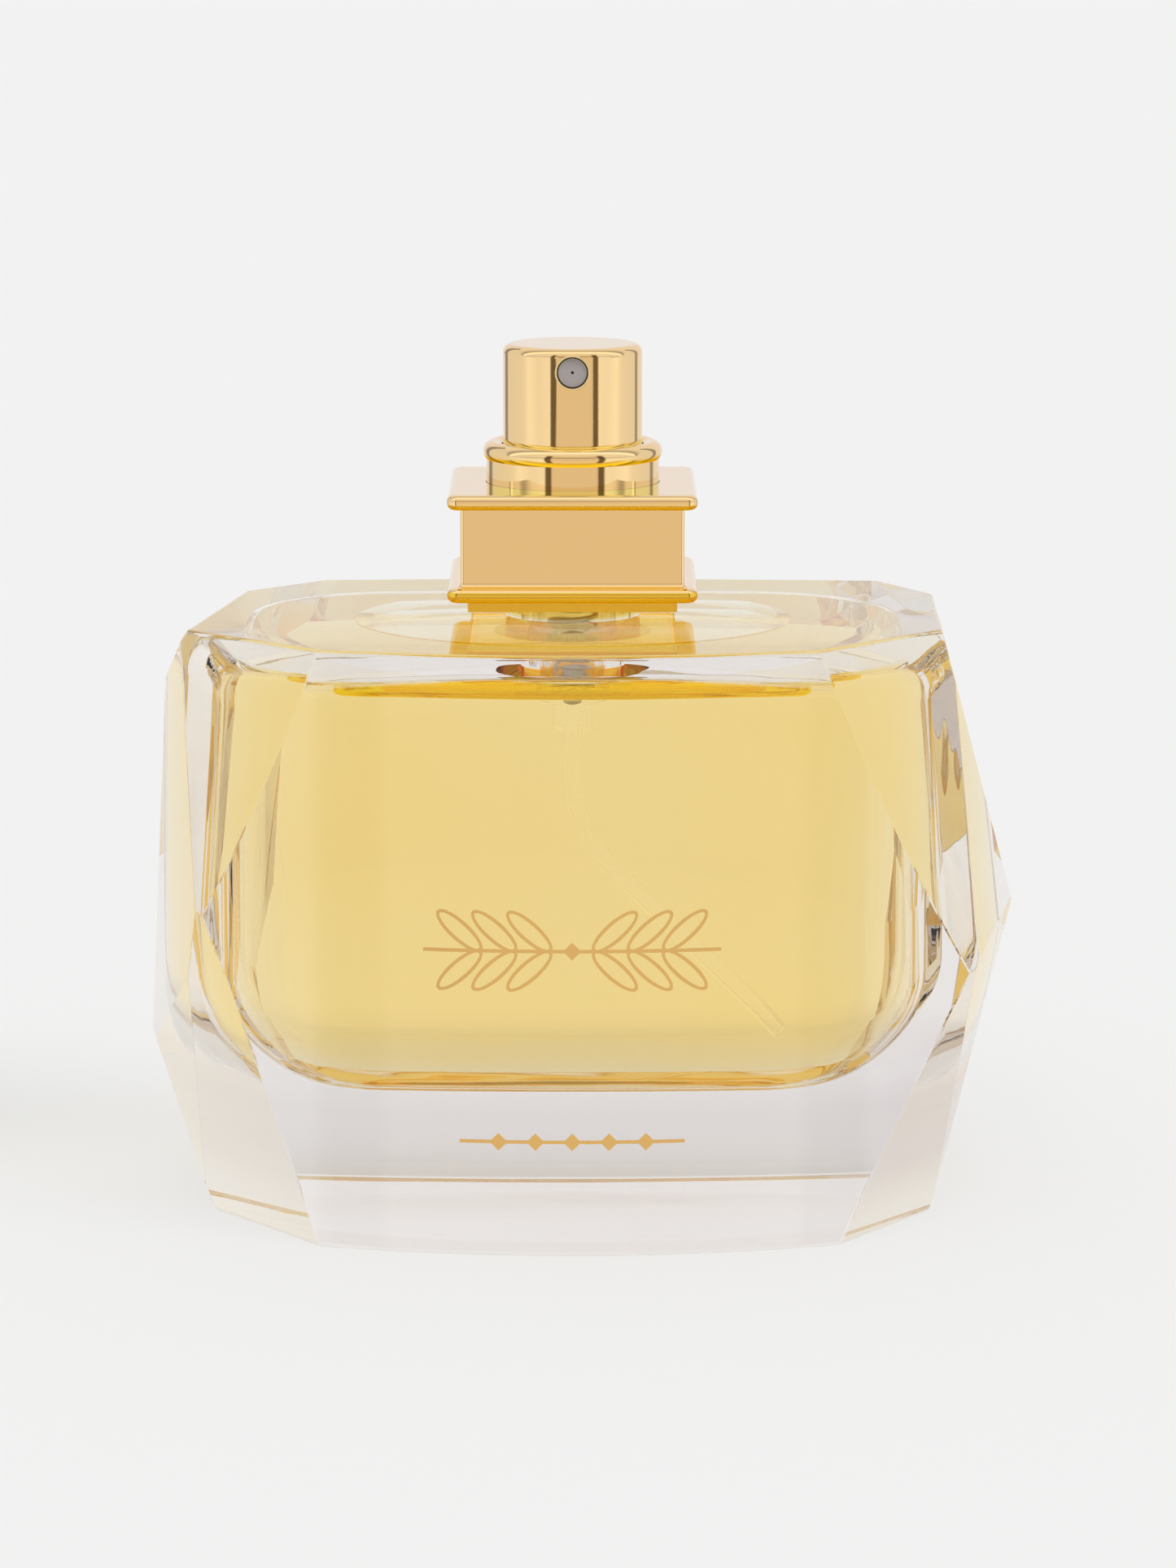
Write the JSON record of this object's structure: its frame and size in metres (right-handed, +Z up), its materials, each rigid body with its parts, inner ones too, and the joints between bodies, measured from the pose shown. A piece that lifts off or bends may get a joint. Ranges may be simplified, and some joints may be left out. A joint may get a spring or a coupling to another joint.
{
  "type": "perfume bottle",
  "caption": "Faceted clear-glass perfume bottle with pale yellow perfume, a square gold collar and a press-down fine-mist spray pump with dip tube.",
  "frame": {"origin": "on the pump axis, in the plane the bottle stands on", "axes": "+Z up along the pump axis, -Y out of the curved front face and the spray hole, +X to the right seen from the front"},
  "size_m": [0.0883, 0.0567, 0.0868],
  "materials": {
    "clear_glass": "clear faceted",
    "perfume_liquid": "clear liquid",
    "gold_foil": "foil",
    "gold_anodised": "polished gold",
    "clear_plastic": "clear",
    "white_plastic": "moulded",
    "grey_plastic": "moulded",
    "black_rubber": "matt",
    "steel": "bright"
  },
  "bodies": {
    "bottle": {"glass_bottle": "clear_glass", "perfume": "perfume_liquid", "sprig_print": "gold_foil", "base_print": "gold_foil", "neck_gasket": "black_rubber", "crimp_ferrule": "gold_anodised", "pump_housing": "clear_plastic", "pump_turret": "white_plastic", "stem_seal": "black_rubber", "return_spring": "steel", "dip_tube": "clear_plastic", "square_collar": "gold_anodised", "collar_liner": "white_plastic", "ring_cover": "gold_anodised"},
    "plunger": {"pump_stem": "white_plastic", "piston_rod": "white_plastic", "precompression_spring": "steel"},
    "piston_cup": {"piston": "white_plastic"},
    "check_ball": {"inlet_ball": "steel"},
    "actuator": {"actuator_core": "white_plastic", "actuator_shell": "gold_anodised", "spray_insert": "grey_plastic"}
  },
  "joints": [
    {"name": "press", "type": "slide", "parent": "bottle", "child": "plunger", "axis": [0, 0, -1], "range_m": [0, 0.0042], "stiffness_N_per_m": 900, "springref_m": -0.002, "deforming": ["return_spring"]},
    {"name": "piston_shift", "type": "slide", "parent": "plunger", "child": "piston_cup", "axis": [0, 0, 1], "range_m": [0, 0.0005], "stiffness_N_per_m": 1500, "deforming": ["precompression_spring"]},
    {"name": "actuator_turn", "type": "hinge", "parent": "plunger", "child": "actuator", "pos_m": [0, 0, 0.079], "axis": [0, 0, 1], "continuous": true},
    {"name": "ball_lift", "type": "slide", "parent": "bottle", "child": "check_ball", "axis": [0, 0, 1], "range_m": [0, 0.0006]}
  ]
}
